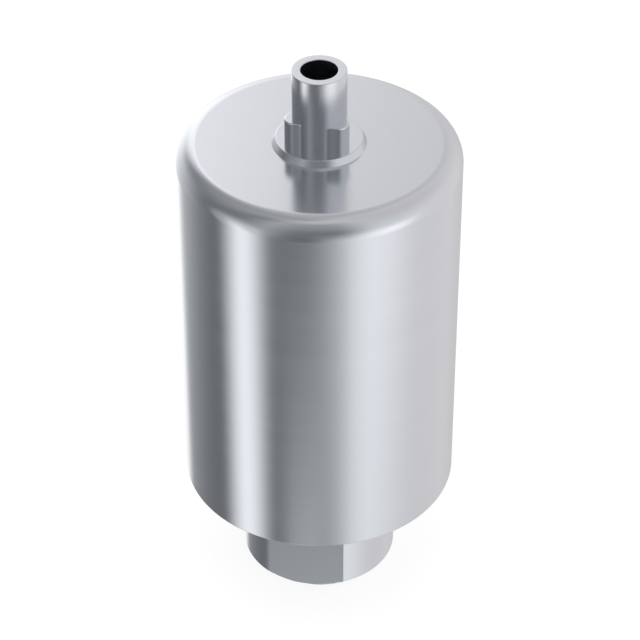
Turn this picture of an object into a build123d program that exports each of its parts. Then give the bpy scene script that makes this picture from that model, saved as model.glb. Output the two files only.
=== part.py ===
from build123d import *
from math import cos, hypot, isclose, pi, sqrt
import os

# Pre-milled abutment blank, turned and milled from one titanium bar.
# Sizes are in millimetres. The origin is the centre of the post's end face and
# +Z points along the axis towards the implant. The index flat faces -Y.

# Holding post, the end that the machine clamps
post_radius = 4.0
post_length = 6.0
post_end_chamfer = 0.5
index_flat_width = 4.0

# Body, the stock that the individual abutment is milled from
body_radius = 7.0
body_length = 20.0
shoulder_radius = 1.0

# Seat collar, a low cone that closes on the implant's platform
collar_top_radius = 2.13
collar_base_radius = 2.31
collar_height = 0.31

# Guide tube, which centres the blank in the implant
tube_radius = 1.34
tube_reach = 4.07

# Three rounded lobes around the root of the tube, which stop it from turning
lobe_count = 3
lobe_reach = 1.745
lobe_tip_radius = 0.575
lobe_root_fillet = 0.5
lobe_height = 1.6
lobe_edge_chamfer = 0.06

# Stepped channel for the screw and its driver
screw_bore_radius = 0.9
driver_bore_radius = 1.25
screw_seat_depth = 1.2
driver_mouth_chamfer = 0.2

# Heights along the axis
body_bottom = post_length
body_top = body_bottom + body_length
collar_top = body_top + collar_height
lobe_top = body_top + lobe_height
tube_end = body_top + tube_reach
screw_seat = body_top - screw_seat_depth


def turned_blank():
    """The post, the body with its rounded shoulder, the collar and the tube, as one turning."""
    with BuildPart() as turned:
        with BuildSketch(Plane.XZ):
            with BuildLine():
                Polyline(
                    (0, 0),
                    (post_radius - post_end_chamfer, 0),
                    (post_radius, post_end_chamfer),
                    (post_radius, body_bottom),
                    (body_radius, body_bottom),
                    (body_radius, body_top - shoulder_radius),
                )
                RadiusArc(
                    (body_radius, body_top - shoulder_radius),
                    (body_radius - shoulder_radius, body_top),
                    -shoulder_radius,
                )
                Polyline(
                    (body_radius - shoulder_radius, body_top),
                    (collar_base_radius, body_top),
                    (collar_top_radius, collar_top),
                    (tube_radius, collar_top),
                    (tube_radius, tube_end),
                    (0, tube_end),
                    (0, 0),
                )
            make_face()
        revolve(axis=Axis.Z)
    return turned.part


def lobed_root():
    """The tube's root with three lobes: a round core joined to a rounded triangle."""
    # A lobe's flanks lie on the sides of the triangle, so its tip fixes their distance
    flank_distance = (lobe_reach - lobe_tip_radius) * cos(pi / lobe_count) + lobe_tip_radius
    with BuildPart() as root:
        with BuildSketch(Plane.XY.offset(collar_top)):
            RegularPolygon(flank_distance, lobe_count, major_radius=False, rotation=90)
            fillet(vertices(), lobe_tip_radius)
            Circle(tube_radius)
            corners = vertices().filter_by(lambda v: isclose(hypot(v.X, v.Y), tube_radius, rel_tol=1e-4))
            fillet(corners, lobe_root_fillet)
        extrude(amount=lobe_top - collar_top)
        chamfer(edges().group_by(Axis.Z)[-1], lobe_edge_chamfer)
    return root.part


def index_flat():
    """The milled flat along the post, from the body down through the end chamfer."""
    flat_distance = sqrt(post_radius**2 - (index_flat_width / 2) ** 2)
    with BuildPart() as cutter:
        with BuildSketch(Plane.XY):
            with Locations((0, -flat_distance - post_radius / 2)):
                Rectangle(2 * post_radius, post_radius)
        extrude(amount=body_bottom)
    return cutter.part


def screw_channel():
    """The bore through the tube, the seat under the screw's head and the wider driver bore."""
    with BuildPart() as channel:
        with BuildSketch(Plane.XZ):
            with BuildLine():
                Polyline(
                    (0, 0),
                    (driver_bore_radius + driver_mouth_chamfer, 0),
                    (driver_bore_radius, driver_mouth_chamfer),
                    (driver_bore_radius, screw_seat),
                    (screw_bore_radius, screw_seat),
                    (screw_bore_radius, tube_end),
                    (0, tube_end),
                    (0, 0),
                )
            make_face()
        revolve(axis=Axis.Z)
    return channel.part


abutment_blank = turned_blank() + lobed_root() - index_flat() - screw_channel()

os.makedirs("parts", exist_ok=True)
export_step(abutment_blank, "parts/abutment_blank.step")
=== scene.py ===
import math

import bmesh
import bpy
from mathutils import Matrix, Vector


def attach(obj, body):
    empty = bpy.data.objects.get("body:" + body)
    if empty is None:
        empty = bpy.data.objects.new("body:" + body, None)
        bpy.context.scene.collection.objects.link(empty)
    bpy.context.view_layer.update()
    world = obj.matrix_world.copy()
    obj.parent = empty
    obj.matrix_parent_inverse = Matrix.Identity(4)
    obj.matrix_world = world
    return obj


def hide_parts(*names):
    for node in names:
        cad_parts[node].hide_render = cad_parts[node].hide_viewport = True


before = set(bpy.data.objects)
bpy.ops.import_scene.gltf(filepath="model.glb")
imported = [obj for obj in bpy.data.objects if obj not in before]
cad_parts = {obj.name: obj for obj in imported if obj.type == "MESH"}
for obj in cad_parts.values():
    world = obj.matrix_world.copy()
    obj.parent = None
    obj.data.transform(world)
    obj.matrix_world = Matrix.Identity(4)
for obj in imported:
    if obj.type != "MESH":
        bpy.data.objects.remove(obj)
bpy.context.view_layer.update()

mm = 0.001  # the tables below are in millimetres

# where the camera stands: degrees to the right of the flat's side and above the floor,
# its distance from the point that it looks at, and that point's height and step to the right
camera = {
    "azimuth": 11.5,
    "elevation": 37.59,
    "distance": 130.74,
    "aimHeight": 15.129,
    "sideways": 0.036,
    "lens": 144.6,
    "sensor": 36,
    "clip": (0.005, 20),  # in metres
}


def direction(azimuth, elevation):
    a, e = math.radians(azimuth), math.radians(elevation)
    return Vector((math.sin(a) * math.cos(e), -math.cos(a) * math.cos(e), math.sin(e)))


def placeCamera():
    right = direction(camera["azimuth"] + 90, 0)
    aim = right * camera["sideways"] + Vector((0, 0, camera["aimHeight"]))
    back = direction(camera["azimuth"], camera["elevation"])
    bpy.ops.object.camera_add(location=(aim + back * camera["distance"]) * mm)
    eye = bpy.context.object
    eye.name = "studioCamera"
    eye.rotation_euler = (-back).to_track_quat("-Z", "Y").to_euler()
    eye.data.lens = camera["lens"]
    eye.data.sensor_width = camera["sensor"]
    eye.data.clip_start, eye.data.clip_end = camera["clip"]
    bpy.context.scene.camera = eye
    bpy.context.scene.view_settings.view_transform = "Standard"
    print("camera placed")


class Wire:
    # one output of a node, sums on it add Math nodes
    def __init__(self, bench, node, output=0):
        self.bench = bench
        self.node = node
        self.output = output

    def __getitem__(self, output):
        return Wire(self.bench, self.node, output)

    def __add__(self, other):
        return self.bench.maths("ADD", self, other)

    __radd__ = __add__

    def __sub__(self, other):
        return self.bench.maths("SUBTRACT", self, other)

    def __rsub__(self, other):
        return self.bench.maths("SUBTRACT", other, self)

    def __mul__(self, other):
        return self.bench.maths("MULTIPLY", self, other)

    __rmul__ = __mul__

    def __truediv__(self, other):
        return self.bench.maths("DIVIDE", self, other)

    def __rtruediv__(self, other):
        return self.bench.maths("DIVIDE", other, self)

    def __lt__(self, other):
        return self.bench.maths("LESS_THAN", self, other)

    def __gt__(self, other):
        return self.bench.maths("GREATER_THAN", self, other)

    def __abs__(self):
        return self.bench.maths("ABSOLUTE", self)


class Bench:
    # a node tree to build on
    def __init__(self, tree):
        self.tree = tree
        tree.nodes.clear()

    def add(self, kind, settings=None, sockets=None):
        # the settings go first, because some of them change which sockets are in use
        node = self.tree.nodes.new("ShaderNode" + kind)
        for name, value in (settings or {}).items():
            setattr(node, name, value)
        for slot, value in (sockets or {}).items():
            if isinstance(value, Wire):
                self.tree.links.new(value.node.outputs[value.output], node.inputs[slot])
            else:
                node.inputs[slot].default_value = value
        return Wire(self, node)

    def maths(self, operation, *values):
        return self.add("Math", {"operation": operation}, dict(enumerate(values)))

    def blend(self, share, first, second):
        # from the first colour to the second as the share goes from 0 to 1
        return self.add("Mix", {"data_type": "RGBA"}, {0: share, 6: first, 7: second})[2]


# bare titanium with fine turning marks, straight ones on the milled flat
titanium = {
    "darkGrey": (0.632, 0.656, 0.693, 1),
    "lightGrey": (0.687, 0.713, 0.753, 1),
    "roughness": 0.15,
    "roughnessSpread": 0.07,
    "markPitch": 0.06,
    "markDepth": 0.0006,
    "bandPitch": 0.7,
    "cloudPitch": 2.5,
    "noiseRoughness": 0.6,
    "markShare": 0.25,  # the shares of marks, bands and clouds in the colour
    "bandShare": 0.5,
    "cloudShare": 0.25,
    "roughMarkShare": 0.4,  # and in the roughness
    "roughBandShare": 0.6,
    "flatPlane": -3.4641,
    "flatTop": 6.0,
    "flatSkin": 0.01,
    "flatStretch": 0.98,  # how far the marks on the flat are drawn out along the post
}


def makeTitanium():
    t = titanium
    finish = bpy.data.materials.new("turnedTitanium")
    finish.use_nodes = True
    bench = Bench(finish.node_tree)

    def noise(vector, pitch, detail):
        return bench.add("TexNoise", None, {
            "Vector": vector,
            "Scale": 0.5 / (pitch * mm),
            "Detail": detail,
            "Roughness": t["noiseRoughness"],
        })

    place = bench.add("TexCoord")["Object"]
    split = bench.add("SeparateXYZ", None, {"Vector": place})
    x, y, z = split["X"], split["Y"], split["Z"]
    radius = bench.maths("SQRT", x * x + y * y)
    onFlat = (abs(y - t["flatPlane"] * mm) < t["flatSkin"] * mm) * (z < t["flatTop"] * mm)
    # the marks are rings around the axis, and run along the post on the flat
    across = radius * (1 - onFlat) + x * onFlat
    along = z * (1 - onFlat * t["flatStretch"])
    marks = bench.add("CombineXYZ", None, {"X": across, "Y": along, "Z": onFlat})
    fine = noise(marks, t["markPitch"], 2.0)
    broad = noise(marks, t["bandPitch"], 1.0)
    cloud = noise(place, t["cloudPitch"], 3.0)
    shade = broad * t["bandShare"] + fine * t["markShare"] + cloud * t["cloudShare"]
    wear = broad * t["roughBandShare"] + fine * t["roughMarkShare"]
    depth = t["markDepth"] * mm
    grain = bench.add("Bump", None, {"Strength": 1.0, "Distance": depth, "Height": fine})
    metal = bench.add("BsdfPrincipled", None, {
        "Base Color": bench.blend(shade, t["darkGrey"], t["lightGrey"]),
        "Metallic": 1.0,
        "Roughness": t["roughness"] + wear * t["roughnessSpread"],
        "Normal": grain,
    })
    bench.add("OutputMaterial", None, {"Surface": metal})
    print("titanium mixed")
    return finish


# the blank, heights along the axis from the post's end
blank = {
    "ringPoints": 300,
    "weld": 0.0005,
    "smoothAngle": 24,
    "edgeBreak": 0.03,
    "edgeSteps": 4,
    "collarSteps": 3,
    "endSteps": 2,
    "support": 0.03,  # how far beside a rounded edge the next ring lies
    "postRadius": 4.0,
    "postChamfer": 0.5,
    "chamferSteps": 12,
    "flatWidth": 4.0,
    "bodyRadius": 7.0,
    "bodyBottom": 6.0,
    "bodyTop": 26.0,
    "underRing": 0.5,  # how far inside the lower edge a ring lies on the underside
    "shoulder": 1.0,
    "shoulderSteps": 18,
    "collarTop": 26.31,
    "collarTopRadius": 2.13,
    "collarBaseRadius": 2.31,
    "lobeReach": 1.745,
    "lobeTip": 0.575,
    "lobeRoot": 0.5,
    "lobeTop": 27.6,
    "lobeEdge": 0.06,
    "tubeRadius": 1.34,
    "tubeEnd": 30.07,
    "boreRadius": 0.9,
    "screwSeat": 24.8,
    "driverRadius": 1.25,
    "driverMouth": 0.2,
}


def roundRing(size, angle):
    return size


def flatRing(size, angle):
    # a circle with the index flat on the side away from +Y
    flat = math.sqrt(blank["postRadius"] ** 2 - (blank["flatWidth"] / 2) ** 2)
    toFlat = math.cos(math.radians(180 - abs(angle)))
    return min(size, flat / max(toFlat, 0.1))  # the flat is out of reach well before 0.1


def lobedRing(inset, angle):
    # tip arc, straight flank, root fillet and tube, measured from the middle of the nearest lobe
    b = blank
    a = math.radians(abs((angle + 60) % 120 - 60))
    side = math.radians(60)
    centre, tip = b["lobeReach"] - b["lobeTip"], b["lobeTip"] - inset
    flank = centre * math.cos(side) + tip
    root = b["lobeRoot"] + inset
    rootCentre = b["tubeRadius"] + b["lobeRoot"]
    rootAlong = math.sqrt(rootCentre**2 - (flank + root) ** 2)
    tipEnd = side - math.atan2(centre * math.sin(side), flank)
    flankEnd = side - math.atan2(rootAlong, flank)
    rootEnd = side - math.atan2(rootAlong, flank + root)
    if a <= tipEnd:
        return centre * math.cos(a) + math.sqrt(tip**2 - (centre * math.sin(a)) ** 2)
    if a <= flankEnd:
        return flank / math.cos(side - a)
    if a >= rootEnd:
        return b["tubeRadius"]
    away = rootCentre * math.sin(rootEnd - a)
    reach = rootCentre * math.cos(rootEnd - a) - math.sqrt(max(root**2 - away**2, 0))
    return max(reach, b["tubeRadius"])


def roundedOutline(corners):
    # a corner is a ring, its size and its height. One with a rounding radius and a number
    # of steps becomes an arc, with a support ring on each side
    outline = []
    for index, (ring, size, height, *edge) in enumerate(corners):
        if not edge:
            outline.append((ring, size, height))
            continue
        rounding, steps = edge
        here = Vector((size, height))
        before = (Vector(corners[index - 1][1:3]) - here).normalized()
        after = (Vector(corners[index + 1][1:3]) - here).normalized()
        half = before.angle(after) / 2
        reach = rounding / math.tan(half)
        centre = here + (before + after).normalized() * (rounding / math.sin(half))
        start = here + before * reach - centre
        turn = start.angle_signed(here + after * reach - centre)
        points = [here + before * (reach + blank["support"])]
        for step in range(steps + 1):
            spin = -turn * step / steps
            points.append(centre + Vector((
                start.x * math.cos(spin) - start.y * math.sin(spin),
                start.x * math.sin(spin) + start.y * math.cos(spin),
            )))
        points.append(here + after * (reach + blank["support"]))
        outline += [(ring, point.x, point.y) for point in points]
    return outline


class Lathe:
    # leads one ring of points along an outline, and leaves the turned surface behind it
    def __init__(self, name, ring, size, height):
        bpy.ops.object.select_all(action="DESELECT")
        bpy.ops.mesh.primitive_circle_add(
            vertices=blank["ringPoints"], radius=ring(size, 0) * mm, location=(0, 0, height * mm)
        )
        self.piece = bpy.context.object
        self.piece.name = name
        bpy.ops.object.transform_apply(location=True, rotation=True, scale=True)
        bpy.ops.object.mode_set(mode="EDIT")
        bpy.ops.mesh.select_mode(type="VERT")
        bpy.ops.mesh.select_all(action="SELECT")
        self.ring, self.size, self.height = ring, size, height

    def pick(self, members):
        mesh = bmesh.from_edit_mesh(self.piece.data)
        mesh.verts.ensure_lookup_table()
        for index in members:
            mesh.verts[index].select_set(True)
        mesh.select_flush_mode()

    def scale(self, factor):
        bpy.ops.transform.resize(value=(factor, factor, 1), center_override=(0, 0, 0))

    def cut(self, ring, size, height):
        rise = (height - self.height) * mm
        bpy.ops.mesh.extrude_edges_move(TRANSFORM_OT_translate={"value": (0, 0, rise)})
        if ring is roundRing and self.ring is roundRing:
            self.scale(size / self.size)
        elif ring is not self.ring or size != self.size:
            self.reshape(ring, size)
        self.ring, self.size, self.height = ring, size, height

    def reshape(self, ring, size):
        # points at the same angle from a lobe or the flat move together
        mesh = bmesh.from_edit_mesh(self.piece.data)
        mesh.verts.index_update()
        whole, groups = [], {}
        for point in mesh.verts:
            if point.select:
                angle = math.degrees(math.atan2(point.co.x, point.co.y))
                factor = round(ring(size, angle) / self.ring(self.size, angle), 7)
                whole.append(point.index)
                groups.setdefault(factor, []).append(point.index)
        for factor, members in groups.items():
            if factor != 1:
                bpy.ops.mesh.select_all(action="DESELECT")
                self.pick(members)
                self.scale(factor)
        bpy.ops.mesh.select_all(action="DESELECT")
        self.pick(whole)

    def close(self):
        bpy.ops.mesh.select_all(action="SELECT")
        bpy.ops.mesh.remove_doubles(threshold=blank["weld"] * mm)
        bpy.ops.mesh.normals_make_consistent(inside=False)
        bpy.ops.object.mode_set(mode="OBJECT")
        bpy.ops.object.shade_smooth_by_angle(angle=math.radians(blank["smoothAngle"]))
        return self.piece


def postEnd():
    # the end chamfer in narrow rings, because the index flat cuts through it
    b = blank
    chamfer, steps = b["postChamfer"], b["chamferSteps"]
    rings = [(flatRing, b["postRadius"] - chamfer, 0, b["edgeBreak"], b["endSteps"])]
    for step in range(2, steps + 1):  # the first one would lie on the rounded edge
        share = step / steps
        rings.append((flatRing, b["postRadius"] - chamfer * (1 - share), chamfer * share))
    return rings


def lobes():
    # up the three lobes, round their top edge and in to the tube
    b = blank
    edge, top, support = b["lobeEdge"], b["lobeTop"], b["support"]
    rings = [(lobedRing, 0, b["collarTop"]), (lobedRing, 0, top - edge - support)]
    for turn in (0, 30, 60, 90):
        a = math.radians(turn)
        rings.append((lobedRing, edge * (1 - math.cos(a)), top - edge * (1 - math.sin(a))))
    rings.append((lobedRing, edge + support, top))
    return rings + [(roundRing, b["tubeRadius"], top), (roundRing, b["tubeRadius"], top + support)]


def makeBlank(finish):
    b = blank
    edge = (b["edgeBreak"], b["edgeSteps"])
    mouth = b["driverRadius"] + b["driverMouth"]
    start = (roundRing, (mouth + b["postRadius"]) / 2, 0)
    outline = roundedOutline([
        start,
        *postEnd(),
        (flatRing, b["postRadius"], b["bodyBottom"]),
        (roundRing, b["bodyRadius"] - b["underRing"], b["bodyBottom"]),
        (roundRing, b["bodyRadius"], b["bodyBottom"], *edge),
        (roundRing, b["bodyRadius"], b["bodyTop"], b["shoulder"], b["shoulderSteps"]),
        (roundRing, b["collarBaseRadius"], b["bodyTop"]),
        (roundRing, b["collarTopRadius"], b["collarTop"], b["edgeBreak"], b["collarSteps"]),
        *lobes(),
        (roundRing, b["tubeRadius"], b["tubeEnd"], *edge),
        (roundRing, b["boreRadius"], b["tubeEnd"], *edge),
        (roundRing, b["boreRadius"], b["screwSeat"]),
        (roundRing, b["driverRadius"], b["screwSeat"]),
        (roundRing, b["driverRadius"], b["driverMouth"]),
        (roundRing, mouth, 0, b["edgeBreak"], b["endSteps"]),
        start,
    ])
    lathe = Lathe("turnedBlank", *outline[0])
    for point in outline[1:]:
        lathe.cut(*point)
    piece = lathe.close()
    piece.data.materials.append(finish)
    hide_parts("abutment_blank")
    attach(piece, "root")
    print("blank turned,", len(piece.data.polygons), "faces")


# the light tent that the metal mirrors
studio = {
    "shade": 0.174,
    # soft panels, each over the ones before it: the side that it stands on in degrees to the
    # right of the camera, its half width and soft edge, its lowest and highest elevation and
    # their soft edge, and its brightness. Nine of them, rightWall, upperHaze, frontHaze,
    # frontGlow, leftStrip, backLeft, backHaze, rightShade and upperShade, began as a
    # least-squares fit to the photographed metal's brightness, rounded and then adjusted,
    # and the other seven were set one by one
    "panels": {
        "rightWall": (115, 86, 18, -69, 100, 43, 0.885),
        "upperHaze": (53, 103, 50, 44, 74, 45, 0.56),
        "frontHaze": (-41, 3, 29, -29, 100, 29, 0.697),
        "frontGlow": (29, 17, 50, -40, -19, 45, 2.02),
        "rightStrip": (55, 14, 16, -31, -2, 10, 1.376),
        "leftStrip": (-64.4, 13.7, 13, -90, -3, 36, 1.303),
        "backLeft": (-165, 11, 16, -44, 36, 10, 2.04),
        "backHaze": (-146, 13, 50, -34, 20, 19, 1.58),
        "rightShade": (169, 26, 21, -93, 9, 45, 0.66),
        "upperShade": (-138, 64, 21, 45, 100, 43, 0.477),
        "frontShade": (-12, 13, 15, -36, -2, 12, 0.19),
        "leftTurn": (-49, 4, 8, -30, 2, 10, 0.826),
        "leftShade": (-78, 5, 8, -30, 4, 10, 0.44),
        "crown": (30, 100, 70, 70, 100, 9, 0.69),
        "lowFront": (-14, 15, 10, -100, -42.5, 5, 0.71),
        "backTop": (-171, 5, 6, 24, 42, 7, 1.4),
    },
    # the shade between the panels is a little cool, the wall on the right a little warm
    "coolWhite": (0.95, 1.0, 1.04, 1),
    "coolBelow": 0.573,
    "warmWhite": (1.02, 0.98, 0.98, 1),
    "warmSide": 125,
    "warmCosine": 0.6,
    "warmEdge": 0.5,
    "floorRadius": 3,  # in metres, as the lamp's place and size are
    "floorPoints": 96,
    "floorGrey": 0.92,
    "floorShare": 0.75,  # how much of it is plain white to the camera, the rest takes the shadow
    "floorGlow": 1.15,
    "lampPower": 0.25,
    "lampSize": 0.3,
    "lampPlace": (-0.05, -0.05, 0.25),
}


def makeWorld():
    s = studio
    sky = bpy.data.worlds.new("studioWorld")
    bpy.context.scene.world = sky
    sky.use_nodes = True
    bench = Bench(sky.node_tree)
    split = bench.add("SeparateXYZ", None, {"Vector": bench.add("TexCoord")["Generated"]})
    x, y, z = split["X"], split["Y"], split["Z"]
    level = bench.maths("SQRT", x * x + y * y)
    elevation = bench.maths("ARCSINE", z) * math.degrees(1)

    def towards(side):
        facing = direction(camera["azimuth"] + side, 0)
        return (x * facing.x + y * facing.y) / level

    def fade(value, soft):
        # 0 to 1 as the value goes from -soft to soft
        smooth = {"interpolation_type": "SMOOTHSTEP"}
        return bench.add("MapRange", smooth, {0: value, 1: -soft, 2: soft})

    light = s["shade"]
    for side, halfWidth, sideEdge, low, high, endEdge, brightness in s["panels"].values():
        away = bench.maths("ARCCOSINE", towards(side)) * math.degrees(1)
        mask = fade(halfWidth - away, sideEdge) * fade(elevation - low, endEdge)
        mask = mask * fade(high - elevation, endEdge)
        light = light * (1 - mask) + brightness * mask
    warm = fade(towards(s["warmSide"]) - s["warmCosine"], s["warmEdge"])
    tone = bench.blend(light / s["coolBelow"], s["coolWhite"], (1, 1, 1, 1))
    tone = bench.blend(warm, tone, s["warmWhite"])
    lit = bench.add("Background", None, {"Color": tone, "Strength": light})
    white = bench.add("Background", None, {"Color": (1, 1, 1, 1), "Strength": 1.0})
    seen = bench.add("LightPath")["Is Camera Ray"]
    shown = bench.add("MixShader", None, {0: seen, 1: lit, 2: white})
    bench.add("OutputWorld", None, {"Surface": shown})
    print("world lit")


def makeFloor():
    s = studio
    bpy.ops.object.select_all(action="DESELECT")
    bpy.ops.mesh.primitive_circle_add(
        vertices=s["floorPoints"], radius=s["floorRadius"], fill_type="NGON", location=(0, 0, 0)
    )
    floor = bpy.context.object
    floor.name = "studioFloor"
    floor.visible_glossy = False  # the metal mirrors the tent below it as well
    paint = bpy.data.materials.new("paleFloor")
    paint.use_nodes = True
    bench = Bench(paint.node_tree)
    matt = bench.add("BsdfDiffuse", None, {"Color": (s["floorGrey"],) * 3 + (1,)})
    glow = bench.add("Emission", None, {"Color": (1, 1, 1, 1), "Strength": s["floorGlow"]})
    share = bench.add("LightPath")["Is Camera Ray"] * s["floorShare"]
    shown = bench.add("MixShader", None, {0: share, 1: matt, 2: glow})
    bench.add("OutputMaterial", None, {"Surface": shown})
    floor.data.materials.append(paint)
    print("floor laid")


def makeLamp():
    s = studio
    bpy.ops.object.select_all(action="DESELECT")
    bpy.ops.object.light_add(type="AREA", location=s["lampPlace"])
    lamp = bpy.context.object
    lamp.name = "softLamp"
    lamp.data.shape = "DISK"
    lamp.data.size = s["lampSize"]
    lamp.data.energy = s["lampPower"]
    lamp.rotation_euler = (-lamp.location).to_track_quat("-Z", "Y").to_euler()
    lamp.visible_glossy = False
    print("lamp hung")


placeCamera()
makeBlank(makeTitanium())
makeWorld()
makeFloor()
makeLamp()
